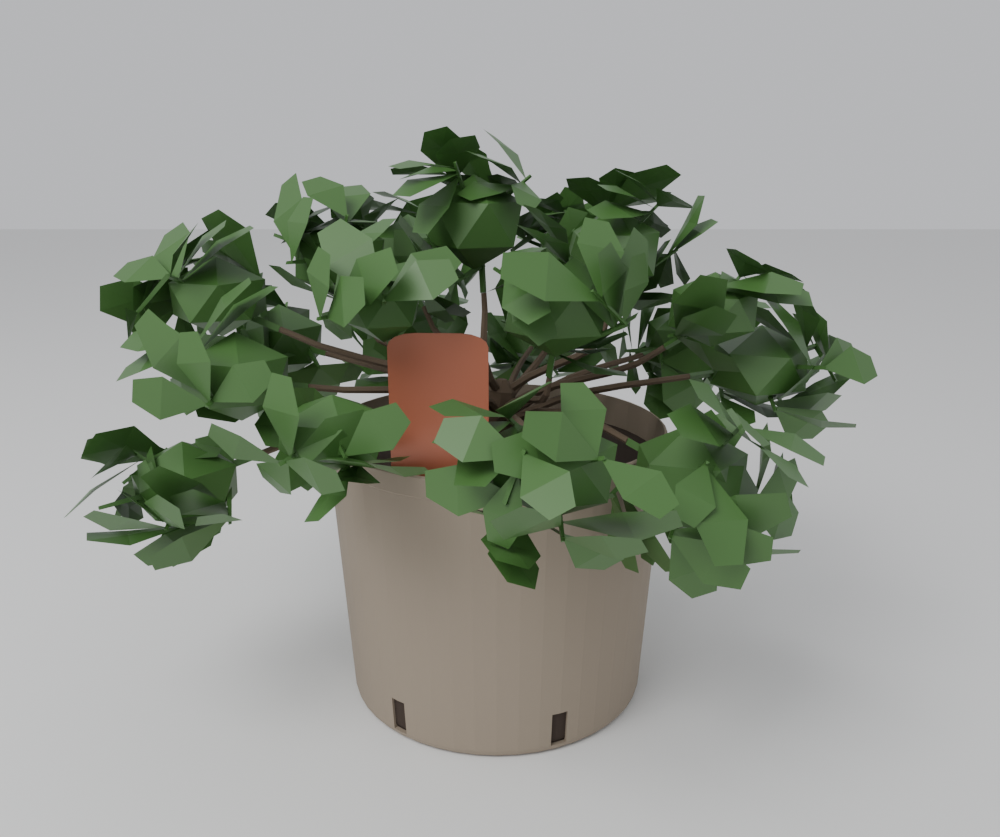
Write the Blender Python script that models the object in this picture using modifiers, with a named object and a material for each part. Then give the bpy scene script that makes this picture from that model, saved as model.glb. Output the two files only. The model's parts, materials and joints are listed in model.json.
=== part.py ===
"""Potted pittosporum: a dwarf shrub in a plain nursery pot, in metres, +Z up.

The origin is the centre of the pot's flat underside, and -Y faces the front of the plant.
The shrub is a short stem, one bough for each mass of foliage, and the masses. Each mass keeps
to its own cell of the crown, so neighbours never touch.
"""

import math
import random

import bmesh
import bpy
from mathutils import Matrix, Vector
from mathutils.bvhtree import BVHTree
from mathutils.geometry import interpolate_bezier

# Driving dimensions of the pot
POT_RADIUS = 0.160
POT_HEIGHT = 0.265
LIP_HEIGHT = 0.019
LIP_PROUD = 0.0014
FOOT_RADIUS = 0.1435
FOOT_ROUND = 0.008
POT_WALL = 0.0025
POT_FLOOR = 0.003
POT_STEPS = 48
SLOT_COUNT = 6
SLOT_WIDTH = 0.015
SLOT_LOW = 0.0075
SLOT_HIGH = 0.0405
SLOT_FIRST_ANGLE = math.radians(-127.5)

# Growing medium and plant label
SOIL_TOP = 0.240
SOIL_DISH = 0.005
LABEL_WIDTH = 0.080
LABEL_TOP = 0.376
LABEL_FOOT = 0.262
LABEL_THICKNESS = 0.0010
LABEL_CORNER = 0.022
LABEL_PLACE = (-0.046, -0.125)
LABEL_TURN = math.radians(-3)
STAKE_WIDTH = 0.014
STAKE_DEPTH = 0.030
NOTCH_FOOT = 0.335
NOTCH_DEPTH = 0.150
NOTCH_SLOPE = 0.20

# Woody parts
TRUNK_RADIUS = 0.0160
TRUNK_FLARE = 0.0090
TRUNK_TOP = 0.308
TRUNK_LEAN = (0.006, 0.003)
TRUNK_RINGS = 8
BOUGH_BASE_RADIUS = 0.0043
BOUGH_TIP_RADIUS = 0.0028
BOUGH_POINTS = 7
TWIG_TIP_RADIUS = 0.0014
TWIG_THICKENING = 0.40
DETOUR_SHARE = 0.3

# Foliage
CROWN_SEED = 7
CROWN_CENTRE = Vector((-0.01, -0.01, 0.325))
SKIN_POINTS = 160
WHORL_SPACING = 0.074
WHORL_LEAVES = 5
WHORL_DEPTH = 0.038
LEAF_LENGTH = 0.084
LEAF_WIDTH = 0.043
LEAF_THICKNESS = 0.0026
LEAF_END_SHARE = 0.26
LEAF_SPACING = 0.0028
LEAF_SUNK = 0.0010
LEAF_CLEAR_SHARE = 0.06
LEAF_ATTEMPTS = 14
LEAF_SWING = math.radians(9)
LEAF_SHRINK = 0.35
LEAF_LOW_ANGLE = math.radians(82)
LEAF_HIGH_ANGLE = math.radians(38)
CORE_SHARE = 0.46
GOLDEN_ANGLE = math.pi * (3 - math.sqrt(5))

# Clearances
GAP = 0.0003
CELL_MARGIN = 0.0006
LIMB_CLEARANCE = 0.0012
POT_CLEARANCE = 0.0030

# Each mass of foliage: centre and reach along X, Y and Z, and the tier its bough starts on
MASSES = {
    "foliage_top": ((-0.020, 0.000, 0.452), (0.105, 0.110, 0.091), 2),
    "foliage_top_left": ((-0.142, 0.002, 0.420), (0.100, 0.105, 0.083), 2),
    "foliage_top_right": ((0.105, 0.010, 0.425), (0.104, 0.108, 0.088), 2),
    "foliage_left_high": ((-0.255, 0.005, 0.385), (0.106, 0.112, 0.080), 1),
    "foliage_left_middle": ((-0.212, -0.100, 0.335), (0.102, 0.100, 0.082), 1),
    "foliage_centre_left": ((-0.090, -0.110, 0.395), (0.092, 0.088, 0.080), 1),
    "foliage_centre_right": ((0.048, -0.105, 0.392), (0.102, 0.098, 0.086), 1),
    "foliage_right_high": ((0.185, -0.055, 0.383), (0.092, 0.092, 0.070), 1),
    "foliage_back_top_left": ((-0.092, 0.130, 0.413), (0.104, 0.104, 0.085), 1),
    "foliage_back_top_right": ((0.082, 0.135, 0.405), (0.106, 0.102, 0.085), 1),
    "foliage_left_low": ((-0.260, -0.110, 0.245), (0.105, 0.100, 0.082), 0),
    "foliage_front_left": ((-0.120, -0.182, 0.312), (0.102, 0.096, 0.064), 0),
    "foliage_front": ((0.040, -0.225, 0.300), (0.108, 0.100, 0.082), 0),
    "foliage_front_right": ((0.150, -0.160, 0.268), (0.108, 0.102, 0.098), 0),
    "foliage_right": ((0.240, -0.015, 0.325), (0.106, 0.116, 0.082), 0),
    "foliage_back_right": ((0.203, 0.142, 0.315), (0.106, 0.106, 0.090), 0),
    "foliage_back": ((0.052, 0.222, 0.310), (0.112, 0.104, 0.090), 0),
    "foliage_back_left": ((-0.110, 0.213, 0.312), (0.106, 0.106, 0.090), 0),
    "foliage_left_back": ((-0.232, 0.132, 0.318), (0.108, 0.106, 0.088), 0),
}
TIER_HEIGHTS = (0.259, 0.276, 0.293)
BOUGH_RISE = 0.042
BOUGH_REACH = 0.055
SHOULDER_RADIUS = 0.100
SHOULDER_HEIGHT = 0.300
BOUGH_END_SHARE = 0.62
CELL_ENTRY = 0.12
BOUGH_SWERVE = {"foliage_front_left": math.radians(-24)}

COLOURS = {
    "pot_plastic": ((0.300, 0.245, 0.185), 0.70),
    "growing_medium": ((0.045, 0.030, 0.022), 0.95),
    "bark": ((0.120, 0.085, 0.055), 0.85),
    "foliage": ((0.060, 0.150, 0.035), 0.45),
    "label_plastic": ((0.420, 0.130, 0.070), 0.40),
}


def clear_scene():
    for old in list(bpy.data.objects):
        bpy.data.objects.remove(old, do_unlink=True)


def new_collection(name):
    made = bpy.data.collections.new(name)
    bpy.context.scene.collection.children.link(made)
    return made


def new_material(name):
    colour, roughness = COLOURS[name]
    made = bpy.data.materials.new(name)
    made.use_nodes = True
    shader = made.node_tree.nodes["Principled BSDF"]
    shader.inputs["Base Color"].default_value = (*colour, 1)
    shader.inputs["Roughness"].default_value = roughness
    shader.inputs["Metallic"].default_value = 0
    return made


def mesh_object(name, bm, collection, material=None):
    """A new object from a bmesh, with its faces turned outwards."""
    bmesh.ops.recalc_face_normals(bm, faces=bm.faces)
    mesh = bpy.data.meshes.new(name)
    bm.to_mesh(mesh)
    bm.free()
    made = bpy.data.objects.new(name, mesh)
    if material is not None:
        mesh.materials.append(material)
    collection.objects.link(made)
    return made


def evaluated_mesh(source):
    bpy.context.view_layer.update()
    graph = bpy.context.evaluated_depsgraph_get()
    return bpy.data.meshes.new_from_object(source.evaluated_get(graph))


def turned(name, profile, collection, material):
    """A solid of revolution about Z, from a profile of (radius, height) that runs down its outer side."""
    mesh = bpy.data.meshes.new(name)
    points = [(radius, 0, height) for radius, height in profile]
    mesh.from_pydata(points, [(i, i + 1) for i in range(len(points) - 1)], [])
    mesh.materials.append(material)
    made = bpy.data.objects.new(name, mesh)
    collection.objects.link(made)
    screw = made.modifiers.new("turn", "SCREW")
    screw.steps = POT_STEPS
    screw.render_steps = POT_STEPS
    screw.use_merge_vertices = True
    screw.merge_threshold = 0.00001
    screw.use_smooth_shade = True
    return made


def limb(name, points, radii, collection, material, rounding):
    """A tapering limb along the points: a curve with filled caps, made a closed mesh."""
    curve = bpy.data.curves.new(name, "CURVE")
    curve.dimensions = "3D"
    curve.bevel_depth = 1
    curve.bevel_resolution = rounding
    curve.use_fill_caps = True
    spline = curve.splines.new("POLY")
    spline.points.add(len(points) - 1)
    for place, point, radius in zip(spline.points, points, radii):
        place.co = (*point, 1)
        place.radius = radius
    source = bpy.data.objects.new(name, curve)
    collection.objects.link(source)
    bm = bmesh.new()
    mesh = evaluated_mesh(source)
    bm.from_mesh(mesh)
    bmesh.ops.remove_doubles(bm, verts=bm.verts, dist=0.000001)
    bpy.data.objects.remove(source, do_unlink=True)
    bpy.data.curves.remove(curve)
    bpy.data.meshes.remove(mesh)
    return mesh_object(name, bm, collection, material)


def box_cutter(name, size, place, angle, collection):
    bm = bmesh.new()
    bmesh.ops.create_cube(bm, size=1)
    bmesh.ops.scale(bm, vec=size, verts=bm.verts)
    made = mesh_object(name, bm, collection)
    made.location = place
    made.rotation_euler = (0, 0, angle)
    made.hide_render = True
    made.display_type = "WIRE"
    return made


def cut_by(made, cutters):
    cut = made.modifiers.new("cut", "BOOLEAN")
    cut.operation = "DIFFERENCE"
    if isinstance(cutters, bpy.types.Collection):
        cut.operand_type = "COLLECTION"
        cut.collection = cutters
    else:
        cut.object = cutters


def wall_radius(height):
    """Radius of the pot's straight, tapering outer wall."""
    return FOOT_RADIUS + (POT_RADIUS - LIP_PROUD - FOOT_RADIUS) * height / (POT_HEIGHT - LIP_HEIGHT)


def inner_profile(inset, floor, top):
    """The inside of the pot from its axis up, drawn in by an inset."""
    corner = wall_radius(FOOT_ROUND) - POT_WALL - inset
    return [
        (0, floor),
        (corner - FOOT_ROUND / 2, floor),
        (corner, floor + FOOT_ROUND),
        (wall_radius(top) - POT_WALL - inset, top),
    ]


def pot(collection, cutters, material):
    """The pot: a tapering wall with a banded lip, a rounded foot and a ring of drain slots."""
    lip_low = POT_HEIGHT - LIP_HEIGHT
    foot_arc = [
        (
            wall_radius(FOOT_ROUND) - FOOT_ROUND * (1 - math.cos(turn)),
            FOOT_ROUND * (1 - math.sin(turn)),
        )
        for turn in (math.radians(angle) for angle in (0, 30, 60, 90))
    ]
    profile = inner_profile(0, POT_FLOOR, POT_HEIGHT)
    profile += [
        (POT_RADIUS - LIP_PROUD, POT_HEIGHT),
        (POT_RADIUS, POT_HEIGHT - LIP_PROUD),
        (POT_RADIUS, lip_low + LIP_PROUD),
        (wall_radius(lip_low), lip_low),
    ]
    profile += foot_arc
    profile.append((0, 0))
    made = turned("pot", profile, collection, material)
    for number in range(SLOT_COUNT):
        angle = SLOT_FIRST_ANGLE + number * 2 * math.pi / SLOT_COUNT
        middle = (SLOT_LOW + SLOT_HIGH) / 2
        radius = wall_radius(middle)
        box_cutter(
            f"drain_slot_{number + 1}",
            (6 * POT_WALL, SLOT_WIDTH, SLOT_HIGH - SLOT_LOW),
            (radius * math.cos(angle), radius * math.sin(angle), middle),
            angle,
            cutters,
        )
    cut_by(made, cutters)
    return made


def growing_medium(collection, cutters, material):
    """The filled root ball, a little dished towards the pot, with a slit that holds the label's stake."""
    profile = inner_profile(GAP, POT_FLOOR + GAP, SOIL_TOP - SOIL_DISH)
    profile.append((POT_RADIUS / 2, SOIL_TOP))
    profile.append((0, SOIL_TOP))
    made = turned("growing_medium", profile[::-1], collection, material)
    slit = box_cutter(
        "stake_slit",
        (STAKE_WIDTH + 2 * GAP, LABEL_THICKNESS + 2 * GAP, 2 * (STAKE_DEPTH + GAP)),
        (*LABEL_PLACE, SOIL_TOP),
        LABEL_TURN,
        cutters,
    )
    cut_by(made, slit)
    return made


def plant_label(collection, material):
    """A flat plastic tag with rounded shoulders, on a stake pushed into the growing medium."""
    half = LABEL_WIDTH / 2
    stake = STAKE_WIDTH / 2
    outline = [(-stake, SOIL_TOP - STAKE_DEPTH), (stake, SOIL_TOP - STAKE_DEPTH)]
    outline += [(stake, LABEL_FOOT - stake), (half, LABEL_FOOT)]
    for side in (1, -1):
        for step in range(5):
            turn = math.radians(22.5 * (step if side > 0 else 4 - step))
            across = half - LABEL_CORNER * (1 - math.cos(turn))
            outline.append((side * across, LABEL_TOP - LABEL_CORNER * (1 - math.sin(turn)) / 2))
    outline += [(-half, LABEL_FOOT), (-stake, LABEL_FOOT - stake)]
    curve = bpy.data.curves.new("plant_label", "CURVE")
    curve.dimensions = "2D"
    curve.fill_mode = "BOTH"
    curve.extrude = LABEL_THICKNESS / 2
    curve.materials.append(material)
    spline = curve.splines.new("POLY")
    spline.points.add(len(outline) - 1)
    for place, (across, height) in zip(spline.points, outline):
        place.co = (across, height, 0, 1)
    spline.use_cyclic_u = True
    made = bpy.data.objects.new("plant_label", curve)
    made.location = (*LABEL_PLACE, 0)
    made.rotation_euler = (math.pi / 2, 0, LABEL_TURN)
    collection.objects.link(made)
    return made


def label_notch(collection):
    """The gap in the foliage that the label looks out of: a box sheared up and forwards from its top."""
    bm = bmesh.new()
    bmesh.ops.create_cube(bm, size=1)
    bmesh.ops.scale(bm, vec=(LABEL_WIDTH, NOTCH_DEPTH, LABEL_TOP - NOTCH_FOOT), verts=bm.verts)
    bmesh.ops.translate(bm, vec=(0, -NOTCH_DEPTH / 2, 0), verts=bm.verts)
    for vertex in bm.verts:
        vertex.co.z -= vertex.co.y * NOTCH_SLOPE
    made = mesh_object("label_notch", bm, collection)
    made.location = (*LABEL_PLACE, (LABEL_TOP + NOTCH_FOOT) / 2)
    made.hide_render = True
    made.display_type = "WIRE"
    return made


def trunk_axis(share):
    """The stem's centre line, upright at its foot and leaning towards its head."""
    height = SOIL_TOP + GAP + share * (TRUNK_TOP - SOIL_TOP - GAP)
    lean = max(0.0, share - 0.12) ** 1.3
    return Vector((TRUNK_LEAN[0] * lean, TRUNK_LEAN[1] * lean, height))


def trunk_radius(share):
    flare = TRUNK_FLARE * math.exp(-share / 0.13)
    dome = math.sqrt(max(0.0, 1 - max(0.0, (share - 0.86) / 0.15) ** 2))
    return (TRUNK_RADIUS * (1 - 0.15 * share) + flare) * dome


def trunk(name, swell, collection, material):
    shares = [0, 0.1] + [0.1 + 0.9 * i / (TRUNK_RINGS - 2) for i in range(1, TRUNK_RINGS - 1)]
    points = [trunk_axis(share) for share in shares]
    radii = [trunk_radius(share) + swell for share in shares]
    return limb(name, points, radii, collection, material, 2)


def azimuth(point):
    return math.atan2(point[1], point[0]) % (2 * math.pi)


def heading_of(name, centre):
    """The way a mass's stem points: outwards over the pot's rim, and down where the mass hangs."""
    swerve = Matrix.Rotation(BOUGH_SWERVE.get(name, 0), 3, "Z")
    away = swerve @ Vector((centre.x, centre.y, 0))
    shoulder = Vector((0, 0, SHOULDER_HEIGHT))
    if away.length > SHOULDER_RADIUS:
        shoulder += away.normalized() * SHOULDER_RADIUS
    return (centre - shoulder).normalized()


def bough_starts(tier):
    """Where the boughs of one tier leave the stem, evenly round it, each near its mass's side."""
    names = sorted((n for n in MASSES if MASSES[n][2] == tier), key=lambda n: azimuth(MASSES[n][0]))
    turn = 2 * math.pi / len(names)
    offsets = [azimuth(MASSES[n][0]) - i * turn for i, n in enumerate(names)]
    phase = math.atan2(sum(map(math.sin, offsets)), sum(map(math.cos, offsets)))
    share = (TIER_HEIGHTS[tier] - SOIL_TOP) / (TRUNK_TOP - SOIL_TOP)
    return {n: (trunk_axis(share), phase + i * turn) for i, n in enumerate(names)}


def bough_path(name, start, angle):
    """A bough's centre line, from the stem's axis to where it enters its mass."""
    centre = Vector(MASSES[name][0])
    reach = sum(MASSES[name][1]) / 3
    heading = heading_of(name, centre)
    walls = cell_walls(name)
    share = BOUGH_END_SHARE
    while not in_cell(centre - heading * reach * (share + CELL_ENTRY), walls):
        share -= 0.02
    end = centre - heading * reach * share
    angle += BOUGH_SWERVE.get(name, 0) / 12
    out = Vector((math.cos(angle), math.sin(angle), 0))
    first = start + out * BOUGH_REACH + Vector((0, 0, BOUGH_RISE))
    last = end - heading * (end - start).length * 0.35
    return interpolate_bezier(start, first, last, end, BOUGH_POINTS)


def bough_radii():
    steps = [i / (BOUGH_POINTS - 1) for i in range(BOUGH_POINTS)]
    return [BOUGH_BASE_RADIUS + (BOUGH_TIP_RADIUS - BOUGH_BASE_RADIUS) * step for step in steps]


def cell_walls(name):
    """The flat walls of a mass's own cell, each a normal and a distance, from its nearest neighbours."""
    walls = []
    centre = Vector(MASSES[name][0])
    weight = math.prod(MASSES[name][1]) ** (2 / 3)
    for other, (place, reach, _) in MASSES.items():
        if other == name:
            continue
        between = Vector(place) - centre
        share = (between.length_squared + weight - math.prod(reach) ** (2 / 3)) / 2
        normal = between.normalized()
        walls.append((normal, normal.dot(centre) + share / between.length))
    return walls


def in_cell(point, walls):
    return all(normal.dot(point) < distance - CELL_MARGIN for normal, distance in walls)


def in_reach(point):
    """True inside the reach of any mass, which together make the crown's outline."""
    return any(
        sum(((p - c) / r) ** 2 for p, c, r in zip(point, centre, reach)) <= 1
        for centre, reach, _ in MASSES.values()
    )


def whorl_places(rng):
    """The centres of the whorls and the ways they face, spread evenly over the crown's outside."""
    skin = []
    for name, (centre, reach, _) in MASSES.items():
        for number in range(SKIN_POINTS):
            height = 1 - 2 * (number + 0.5) / SKIN_POINTS
            turn = number * GOLDEN_ANGLE
            level = math.sqrt(1 - height * height)
            unit = Vector((level * math.cos(turn), level * math.sin(turn), height))
            surface = Vector([c + u * r * 1.01 for c, u, r in zip(centre, unit, reach)])
            outwards = Vector([u / r for u, r in zip(unit, reach)]).normalized()
            if not in_reach(surface):
                skin.append((surface, outwards, name))
    rng.shuffle(skin)
    chosen = []
    places = {name: [] for name in MASSES}
    for surface, outwards, name in skin:
        if any((surface - other).length < WHORL_SPACING for other in chosen):
            continue
        place = surface - outwards * WHORL_DEPTH * rng.uniform(0.85, 1.15)
        if not in_cell(place, cell_walls(name)):
            continue
        away = (surface - CROWN_CENTRE).normalized()
        facing = (outwards + away * 0.6 + Vector((0, 0, 0.35))).normalized()
        chosen.append(surface)
        places[name].append((place, facing))
    return places


def grow_twigs(root, heading, centre, whorls):
    """Branches from one stem: each whorl, nearest first, joins the twig it reaches by the shortest way.

    Returns the points of the twigs, the point that each one grows from, and how many whorls it carries.
    """
    elbow = root + heading * (centre - root).length * 0.4
    places = [root, elbow, centre]
    parents = [None, 0, 1]
    lengths = [0.0, (elbow - root).length, (elbow - root).length + (centre - elbow).length]
    for place, facing in whorls:
        best = min(
            range(1, len(places)),
            key=lambda i: (place - places[i]).length + DETOUR_SHARE * lengths[i],
        )
        lengths.append(lengths[best] + (place - places[best]).length)
        places.append(place)
        parents.append(best)
    carried = [0] * len(places)
    for step in range(3, len(places)):
        while step is not None:
            carried[step] += 1
            step = parents[step]
    return places, parents, carried


def twig_radius(carried):
    return TWIG_TIP_RADIUS * max(1, carried) ** TWIG_THICKENING


def leaf_points(root, along, up, length, width):
    """A leaf that widens from a pointed foot to past its middle, and ends blunt."""
    across = along.cross(up)
    belly = root + along * length * 0.60 + up * length * 0.05
    end = root + along * length
    return [
        root,
        belly + across * width / 2 + up * LEAF_THICKNESS / 2,
        belly - across * width / 2 + up * LEAF_THICKNESS / 2,
        belly - up * LEAF_THICKNESS / 2,
        end + across * width * LEAF_END_SHARE,
        end - across * width * LEAF_END_SHARE,
    ]


LEAF_FACES = ((0, 1, 2), (0, 2, 3), (0, 3, 1), (1, 4, 5, 2), (2, 5, 3), (3, 5, 4), (3, 4, 1))


def loft(name, points, faces, collection):
    bm = bmesh.new()
    corners = [bm.verts.new(point) for point in points]
    for face in faces:
        bm.faces.new([corners[i] for i in face])
    return mesh_object(name, bm, collection)


def twig_solid(start, end, start_radius, end_radius, sunk=0.5):
    """Points and faces of a three-sided twig, its start sunk into the one it grows from."""
    along = (end - start).normalized()
    side = along.orthogonal().normalized()
    other = along.cross(side)
    points = []
    for middle, radius in ((start - along * start_radius * sunk, start_radius), (end, end_radius)):
        for turn in (0, 2 * math.pi / 3, 4 * math.pi / 3):
            points.append(middle + (side * math.cos(turn) + other * math.sin(turn)) * radius * 1.25)
    faces = ((0, 1, 2), (3, 4, 5), (0, 1, 4, 3), (1, 2, 5, 4), (2, 0, 3, 5))
    return points, faces


def grown_tree(made, swell):
    """A search tree of an object's faces, grown outwards by a clearance."""
    mesh = evaluated_mesh(made)
    mesh.transform(made.matrix_world)
    points = [vertex.co + vertex.normal * swell for vertex in mesh.vertices]
    faces = [tuple(polygon.vertices) for polygon in mesh.polygons]
    bpy.data.meshes.remove(mesh)
    return BVHTree.FromPolygons(points, faces)


def touches(points, faces, obstacles):
    tree = BVHTree.FromPolygons(points, faces)
    return any(tree.overlap(obstacle) for obstacle in obstacles)


def whorl_leaves(place, facing, shoot, walls, obstacles, rng):
    """The leaves at the end of one shoot that keep to the mass's cell and clear of what is in it.

    Each leaf's outer part joins the obstacles, so that no leaf passes through another.
    """
    side = facing.orthogonal().normalized()
    other = facing.cross(side)
    first = rng.uniform(0, 2 * math.pi)
    leaves = []
    for number in range(WHORL_LEAVES):
        share = number / (WHORL_LEAVES - 1)
        node = place - shoot * LEAF_SPACING * (WHORL_LEAVES - number)
        for attempt in range(LEAF_ATTEMPTS):
            turn = first + (number + attempt / 4) * GOLDEN_ANGLE
            out = side * math.cos(turn) + other * math.sin(turn)
            size = 1 - LEAF_SHRINK * attempt / LEAF_ATTEMPTS
            angle = LEAF_LOW_ANGLE + (LEAF_HIGH_ANGLE - LEAF_LOW_ANGLE) * share
            angle += LEAF_SWING * ((attempt + 1) // 2) * (-1) ** attempt
            along = facing * math.cos(angle) + out * math.sin(angle)
            up = facing * math.sin(angle) - out * math.cos(angle)
            length = LEAF_LENGTH * size * (1 - 0.18 * share)
            points = leaf_points(node - along * LEAF_SUNK, along, up, length, LEAF_WIDTH * size)
            outer = [points[0].lerp(points[3], LEAF_CLEAR_SHARE)] + points[1:]
            if not in_reach(points[4]) or not in_reach(points[5]):
                continue
            if all(in_cell(p, walls) for p in points) and not touches(outer, LEAF_FACES, obstacles):
                leaves.append(points)
                obstacles.append(BVHTree.FromPolygons(outer, LEAF_FACES))
                break
    return leaves


def core(name, walls, obstacles, collection):
    """The dense heart of a mass: a coarse ellipsoid drawn in until it keeps to the cell."""
    centre, reach, _ = MASSES[name]
    for shrink in (1, 0.9, 0.8, 0.7, 0.6, 0.5, 0.4):
        bm = bmesh.new()
        bmesh.ops.create_icosphere(bm, subdivisions=1, radius=CORE_SHARE * shrink)
        bmesh.ops.scale(bm, vec=reach, verts=bm.verts)
        for vertex in bm.verts:
            offset = vertex.co.copy()
            while not in_cell(Vector(centre) + offset, walls):
                offset *= 0.95
            vertex.co = Vector(centre) + offset
        points = [vertex.co.copy() for vertex in bm.verts]
        faces = [tuple(v.index for v in face.verts) for face in bm.faces]
        if not touches(points, faces, obstacles):
            return mesh_object("core", bm, collection)
        bm.free()
    raise ValueError("a core finds no room")


def keep_largest(made):
    """Drops the loose scraps and the sealed hollows that a union leaves."""
    bm = bmesh.new()
    bm.from_mesh(made.data)
    left = set(bm.verts)
    islands = []
    while left:
        island = set()
        edge = [left.pop()]
        while edge:
            vertex = edge.pop()
            island.add(vertex)
            for link in vertex.link_edges:
                other = link.other_vert(vertex)
                if other in left:
                    left.remove(other)
                    edge.append(other)
        islands.append(island)
    islands.sort(key=len)
    for island in islands[:-1]:
        bmesh.ops.delete(bm, geom=list(island), context="VERTS")
    bm.to_mesh(made.data)
    bm.free()


def foliage_mass(name, path, whorls, obstacles, rng, collection, material):
    """One mass: twigs that branch from a stem at its bough's tip, leaves in whorls, and a core."""
    pieces = new_collection("pieces")
    centre = Vector(MASSES[name][0])
    heading = (path[-1] - path[-2]).normalized()
    root = path[-1] + heading * GAP
    walls = cell_walls(name)
    obstacles = list(obstacles)
    heart = core(name, walls, obstacles, collection)
    whorls = sorted(whorls, key=lambda whorl: (whorl[0] - root).length)
    places, parents, carried = grow_twigs(root, heading, centre, whorls)
    kept = {0}
    for step in range(1, len(places)):
        if parents[step] not in kept:
            continue
        radii = [twig_radius(carried[i]) for i in (parents[step], step)]
        if step < 3:
            radii = (BOUGH_TIP_RADIUS, BOUGH_TIP_RADIUS)
        sunk = 0 if step == 1 else 0.5
        points, faces = twig_solid(places[parents[step]], places[step], *radii, sunk)
        if not all(in_cell(p, walls) for p in points) or touches(points, faces, obstacles):
            continue
        kept.add(step)
        loft("twig", points, faces, pieces)
    for step in sorted(kept):
        if step < 3:
            continue
        shoot = (places[step] - places[parents[step]]).normalized()
        for leaf in whorl_leaves(*whorls[step - 3], shoot, walls, obstacles, rng):
            loft("leaf", leaf, LEAF_FACES, pieces)
    join = heart.modifiers.new("join", "BOOLEAN")
    join.operation = "UNION"
    join.operand_type = "COLLECTION"
    join.collection = pieces
    mesh = evaluated_mesh(heart)
    for piece in list(pieces.objects):
        bpy.data.objects.remove(piece, do_unlink=True)
    bpy.data.collections.remove(pieces)
    heart.modifiers.clear()
    heart.data = mesh
    heart.name = name
    mesh.materials.clear()
    mesh.materials.append(material)
    keep_largest(heart)
    return heart


def main():
    clear_scene()
    plant = new_collection("potted_pittosporum")
    slots = new_collection("drain_slots")
    helpers = new_collection("cutters")
    bark = new_material("bark")
    foliage = new_material("foliage")
    fixed = [
        pot(plant, slots, new_material("pot_plastic")),
        growing_medium(plant, helpers, new_material("growing_medium")),
        plant_label(plant, new_material("label_plastic")),
        trunk("trunk", 0, plant, bark),
    ]
    clearance = trunk("trunk_clearance", GAP, helpers, None)
    clearance.hide_render = True
    clearance.display_type = "WIRE"
    starts = {}
    for tier in range(len(TIER_HEIGHTS)):
        starts.update(bough_starts(tier))
    paths = {name: bough_path(name, *starts[name]) for name in MASSES}
    limbs = []
    for name, path in paths.items():
        bough = limb(name.replace("foliage", "bough"), path, bough_radii(), plant, bark, 1)
        cut_by(bough, clearance)
        limbs.append(bough)
    obstacles = [grown_tree(fixed[0], POT_CLEARANCE)]
    obstacles += [grown_tree(made, LIMB_CLEARANCE) for made in fixed[1:]]
    obstacles += [grown_tree(bough, 0.0001) for bough in limbs]
    obstacles.append(grown_tree(label_notch(helpers), 0))
    rng = random.Random(CROWN_SEED)
    whorls = whorl_places(rng)
    for name in MASSES:
        foliage_mass(name, paths[name], whorls[name], obstacles, rng, plant, foliage)


main()
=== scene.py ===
"""Potted pittosporum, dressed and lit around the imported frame, in metres, +Z up."""

import json
import math

import bpy
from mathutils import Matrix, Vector

# Camera: place, tilt from straight down, and focal length for a 36 mm sensor
CAMERA_PLACE = (0.003, -0.815, 0.507)
CAMERA_TILT = math.radians(73.8)
CAMERA_LENS = 32.2

# Studio
FLOOR_SIDE = 12.0
FLOOR_COLOUR = (0.80, 0.80, 0.79)
WORLD_COLOUR = (0.95, 0.96, 1.0)
WORLD_STRENGTH = 0.7
KEY_PLACE = (-1.2, -1.6, 2.4)
KEY_SIDE = 1.6
KEY_WATTS = 60

# Surface of each material slot: colour and roughness
SURFACES = {
    "pot_plastic": ((0.300, 0.245, 0.185), 0.70),
    "growing_medium": ((0.045, 0.030, 0.022), 0.95),
    "bark": ((0.120, 0.085, 0.055), 0.85),
    "foliage": ((0.060, 0.150, 0.035), 0.45),
    "label_plastic": ((0.420, 0.130, 0.070), 0.40),
}


def plain_material(name, colour, roughness):
    made = bpy.data.materials.new(name)
    made.use_nodes = True
    shader = made.node_tree.nodes["Principled BSDF"]
    shader.inputs["Base Color"].default_value = (*colour, 1)
    shader.inputs["Roughness"].default_value = roughness
    return made


def add_camera():
    data = bpy.data.cameras.new("camera")
    data.lens = CAMERA_LENS
    made = bpy.data.objects.new("camera", data)
    made.location = CAMERA_PLACE
    made.rotation_euler = (CAMERA_TILT, 0, 0)
    bpy.context.scene.collection.objects.link(made)
    bpy.context.scene.camera = made


def add_floor():
    bpy.ops.mesh.primitive_plane_add(size=FLOOR_SIDE)
    floor = bpy.context.object
    floor.name = "floor"
    floor.data.materials.append(plain_material("floor", FLOOR_COLOUR, 0.9))


def add_lights():
    world = bpy.data.worlds.new("studio")
    world.use_nodes = True
    sky = world.node_tree.nodes["Background"]
    sky.inputs["Color"].default_value = (*WORLD_COLOUR, 1)
    sky.inputs["Strength"].default_value = WORLD_STRENGTH
    bpy.context.scene.world = world
    data = bpy.data.lights.new("key", "AREA")
    data.size = KEY_SIDE
    data.energy = KEY_WATTS
    key = bpy.data.objects.new("key", data)
    key.location = KEY_PLACE
    key.rotation_euler = (-Vector(KEY_PLACE)).to_track_quat("-Z", "Y").to_euler()
    bpy.context.scene.collection.objects.link(key)


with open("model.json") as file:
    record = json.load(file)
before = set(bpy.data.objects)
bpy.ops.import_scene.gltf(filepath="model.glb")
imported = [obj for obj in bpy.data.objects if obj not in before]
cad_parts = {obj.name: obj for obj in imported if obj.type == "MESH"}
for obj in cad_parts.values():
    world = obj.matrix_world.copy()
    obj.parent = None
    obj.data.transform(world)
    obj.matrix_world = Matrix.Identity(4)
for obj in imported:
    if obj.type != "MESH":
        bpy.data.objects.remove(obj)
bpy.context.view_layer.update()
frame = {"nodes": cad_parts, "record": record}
finishes = {name: plain_material(name, *surface) for name, surface in SURFACES.items()}
for subpart in frame["record"]["subparts"]:
    node = frame["nodes"][subpart["node"]]
    node.data.materials.clear()
    node.data.materials.append(finishes[subpart["material_slot"]])
add_camera()
add_floor()
add_lights()
